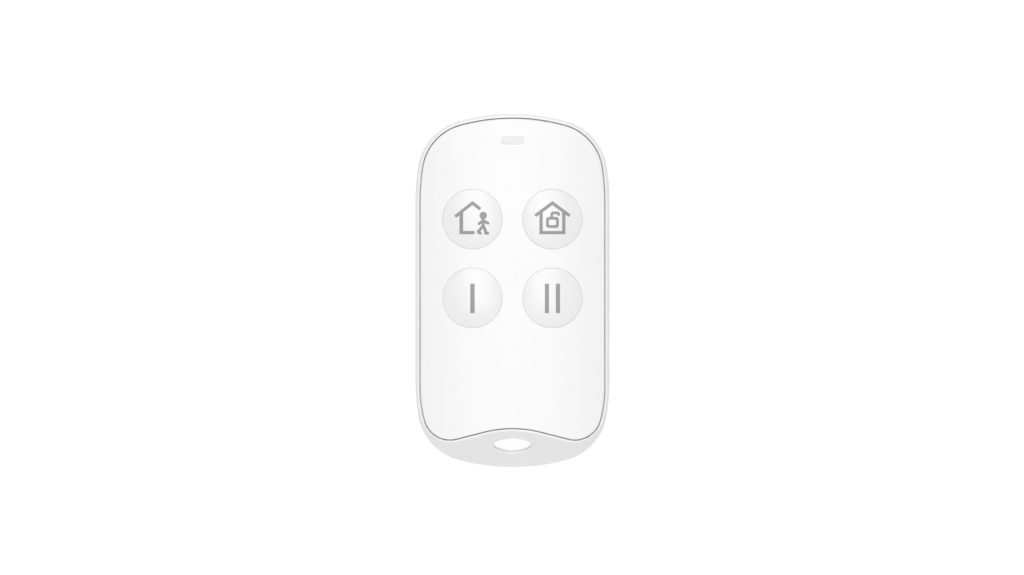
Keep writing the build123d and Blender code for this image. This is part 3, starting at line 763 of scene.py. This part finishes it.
def sphere_grid(mesh, middle, center, radius):
    """Rows of new vertices on a sphere, in a square round a button's middle."""
    cells = 2 * math.ceil(SHELL_REACH / SHELL_CELL)
    rows = []
    for row in range(cells + 1):
        y = middle.y + SHELL_CELL * (row - cells / 2)
        line = []
        for column in range(cells + 1):
            x = middle.x + SHELL_CELL * (column - cells / 2)
            across = Vector((x - center.x, y - center.y))
            rise = math.sqrt(radius**2 - across.length_squared)
            line.append(mesh.verts.new((x, y, center.z + rise)))
        rows.append(line)
    return rows


def grid_rim(rows):
    """The vertices round a grid, in order."""
    right = [row[-1] for row in rows[1:]]
    left = [row[0] for row in rows[-2::-1]]
    return rows[0] + right + rows[-1][-2::-1] + left[:-1]


def join_loops(mesh, first, second):
    """Faces between two closed loops of as many vertices."""
    for number, start in enumerate(first):
        after = (number + 1) % len(first)
        mesh.faces.new((start, first[after], second[after], second[number]))


def ink_shell(name):
    """Thin shell that follows a button's face, as thick as the printed ink."""
    middle = button_middle(name)
    center, radius = face_sphere(name)
    shell = bmesh.new()
    top = sphere_grid(shell, middle, center, radius + INK_RISE)
    foot = sphere_grid(shell, middle, center, radius - INK_SINK)
    for rows in (top, foot):
        for low_row, high_row in zip(rows, rows[1:]):
            for corners in zip(low_row, low_row[1:], high_row[1:], high_row):
                shell.faces.new(corners)
    join_loops(shell, grid_rim(foot), grid_rim(top))
    bmesh.ops.recalc_face_normals(shell, faces=shell.faces)
    return shell


def add_prism(mesh, outline, low, high, hole=None):
    """Upright prism over an outline, or between an outline and a hole of as many points."""
    foot = [mesh.verts.new((x, y, low)) for x, y in outline]
    top = [mesh.verts.new((x, y, high)) for x, y in outline]
    join_loops(mesh, foot, top)
    if hole:
        hole_foot = [mesh.verts.new((x, y, low)) for x, y in hole]
        hole_top = [mesh.verts.new((x, y, high)) for x, y in hole]
        join_loops(mesh, top, hole_top)
        join_loops(mesh, hole_top, hole_foot)
        join_loops(mesh, hole_foot, foot)
    else:
        mesh.faces.new(foot)
        mesh.faces.new(top)


def mesh_object(name, mesh):
    """An object in the scene with the given mesh, which is freed."""
    data = bpy.data.meshes.new(name)
    mesh.to_mesh(data)
    mesh.free()
    made = bpy.data.objects.new(name, data)
    bpy.context.scene.collection.objects.link(made)
    return made


def symbol_cutter(name, shapes, rings):
    """The prisms of a symbol, placed over its button."""
    middle = button_middle(name)
    low = middle.z - CUTTER_DEPTH
    high = middle.z + CUTTER_RISE
    cutter = bmesh.new()
    for outline, hole in [(shape, None) for shape in shapes] + rings:
        placed = [(middle.x + x, middle.y + y) for x, y in outline]
        placed_hole = hole and [(middle.x + x, middle.y + y) for x, y in hole]
        add_prism(cutter, placed, low, high, placed_hole)
        low -= CUTTER_STEP
        high += CUTTER_STEP
    bmesh.ops.recalc_face_normals(cutter, faces=cutter.faces)
    return mesh_object(name + "_cutter", cutter)


def print_symbol(name, shapes, rings, ink):
    """Cuts a symbol out of the ink shell of its button and rides it on the button."""
    cutter = symbol_cutter(name, shapes, rings)
    printed = mesh_object(name + "_symbol", ink_shell(name))
    cut = printed.modifiers.new("cut", "BOOLEAN")
    cut.operation = "INTERSECT"
    cut.solver = "EXACT"
    cut.use_self = True
    cut.object = cutter
    graph = bpy.context.evaluated_depsgraph_get()
    data = bpy.data.meshes.new_from_object(printed.evaluated_get(graph))
    printed.modifiers.clear()
    printed.data = data
    bpy.data.objects.remove(cutter)
    data.shade_smooth()
    data.set_sharp_from_angle(angle=SHARP_ANGLE)
    data.materials.clear()
    data.materials.append(ink)
    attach(printed, name)


def print_symbols():
    """Prints each button's symbol."""
    ink = printed_ink("symbol_ink")
    for name, symbol in SYMBOLS.items():
        shapes, rings = symbol()
        print_symbol(name, shapes, rings, ink)


def flex_domes():
    """Replaces each switch dome by a copy of its mesh, set in the world frame."""
    for name in SYMBOLS:
        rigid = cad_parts[name + "_switch_dome"]
        dome = bpy.data.objects.new(name + "_flexing_dome", rigid.data.copy())
        bpy.context.scene.collection.objects.link(dome)
        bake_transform(dome)
        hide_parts(rigid.name)


def stage_material():
    """Pale floor that glows softly round the object, and lets a view from below through."""
    material = new_material("stage_floor")
    tree = material.node_tree
    shader = main_shader(material)
    set_inputs(
        shader,
        Base_Color=(*grey(FLOOR_TONE), 1.0),
        Roughness=FLOOR_ROUGHNESS,
        Specular_IOR_Level=0.0,
        Emission_Color=(*grey(1.0), 1.0),
    )
    where = add(tree, "ShaderNodeTexCoord")
    length = add(tree, "ShaderNodeVectorMath", {"operation": "LENGTH"})
    tree.links.new(where.outputs["Object"], length.inputs["Vector"])
    glow = add(
        tree,
        "ShaderNodeMapRange",
        {"interpolation_type": "SMOOTHSTEP"},
        From_Min=GLOW_INNER_RADIUS,
        From_Max=GLOW_OUTER_RADIUS,
        To_Min=FLOOR_GLOW,
        To_Max=FAR_GLOW,
    )
    tree.links.new(length.outputs["Value"], glow.inputs["Value"])
    feed(material, "Emission Strength", glow.outputs["Result"])
    side = add(tree, "ShaderNodeNewGeometry")
    clear = add(tree, "ShaderNodeBsdfTransparent")
    choice = add(tree, "ShaderNodeMixShader")
    tree.links.new(side.outputs["Backfacing"], choice.inputs["Fac"])
    tree.links.new(shader.outputs["BSDF"], choice.inputs[MIX_FIRST_SHADER])
    tree.links.new(clear.outputs["BSDF"], choice.inputs[MIX_SECOND_SHADER])
    output = tree.nodes["Material Output"]
    tree.links.new(choice.outputs["Shader"], output.inputs["Surface"])
    return material


def make_stage():
    """Pale floor that curves up into a low wall all round."""
    bend_center = (STAGE_RADIUS - STAGE_BEND, STAGE_BEND)
    profile = [(0.0, 0.0)]
    profile += turn(bend_center, STAGE_BEND, 270, 360)
    profile.append((STAGE_RADIUS, STAGE_BEND + STAGE_WALL))
    bowl = bmesh.new()
    line = [bowl.verts.new((x, 0, z - FLOOR_DROP)) for x, z in profile]
    edges = [bowl.edges.new(pair) for pair in zip(line, line[1:])]
    bmesh.ops.spin(
        bowl,
        geom=line + edges,
        axis=(0, 0, 1),
        cent=(0, 0, 0),
        angle=math.tau,
        steps=STAGE_STEPS,
        use_merge=True,
    )
    bmesh.ops.remove_doubles(bowl, verts=bowl.verts, dist=MERGE_DISTANCE)
    bmesh.ops.recalc_face_normals(bowl, faces=bowl.faces)
    floor = min(bowl.faces, key=lambda face: face.calc_center_median().z)
    if floor.normal.z < 0:
        bmesh.ops.reverse_faces(bowl, faces=bowl.faces)
    stage = mesh_object("stage_floor", bowl)
    stage.data.shade_smooth()
    stage.data.materials.append(stage_material())


def add_soft_box(name, box):
    """Area light, as bright all over as its box says, that the camera doesn't see."""
    width, height = box.size
    data = bpy.data.lights.new(name, "AREA")
    data.shape = "RECTANGLE"
    data.size = width
    data.size_y = height
    data.energy = box.brightness * math.pi * width * height
    light = bpy.data.objects.new(name, data)
    light.location = box.place
    light.rotation_euler = (-Vector(box.place)).to_track_quat("-Z", "Y").to_euler()
    light.visible_camera = False
    bpy.context.scene.collection.objects.link(light)


def make_light():
    """Soft room light, a long soft box overhead and one beyond either end."""
    world = bpy.data.worlds.new("studio")
    world.use_nodes = True
    set_inputs(
        world.node_tree.nodes["Background"], Color=(*grey(1.0), 1.0), Strength=WORLD_LEVEL
    )
    bpy.context.scene.world = world
    for name, box in SOFT_BOXES.items():
        add_soft_box(name, box)


def make_camera():
    """Looks straight down, framed so that the fob lies where the photograph has it."""
    low, high = cad_box
    pixels_per_metre = FOB_LENGTH_PX / (high.y - low.y)
    distance = IMAGE_WIDTH_PX / pixels_per_metre * FOCAL_LENGTH_MM / SENSOR_WIDTH_MM
    data = bpy.data.cameras.new("camera")
    data.lens = FOCAL_LENGTH_MM
    data.sensor_width = SENSOR_WIDTH_MM
    camera = bpy.data.objects.new("camera", data)
    offset_x = (IMAGE_WIDTH_PX / 2 - FOB_CENTER_PX[0]) / pixels_per_metre
    offset_y = (FOB_CENTER_PX[1] - IMAGE_HEIGHT_PX / 2) / pixels_per_metre
    middle = (low + high) / 2
    camera.location = (middle.x + offset_x, middle.y + offset_y, high.z + distance)
    bpy.context.scene.collection.objects.link(camera)
    bpy.context.scene.camera = camera


def show_plain_colors():
    """Shows colours as they are, without the soft curve of a film."""
    bpy.context.scene.view_settings.view_transform = "Standard"


def write_sizes():
    """Brings the view layer up to date."""
    bpy.context.view_layer.update()


make_camera()
show_plain_colors()
make_stage()
make_light()
dress_nodes()
print_symbols()
flex_domes()
write_sizes()
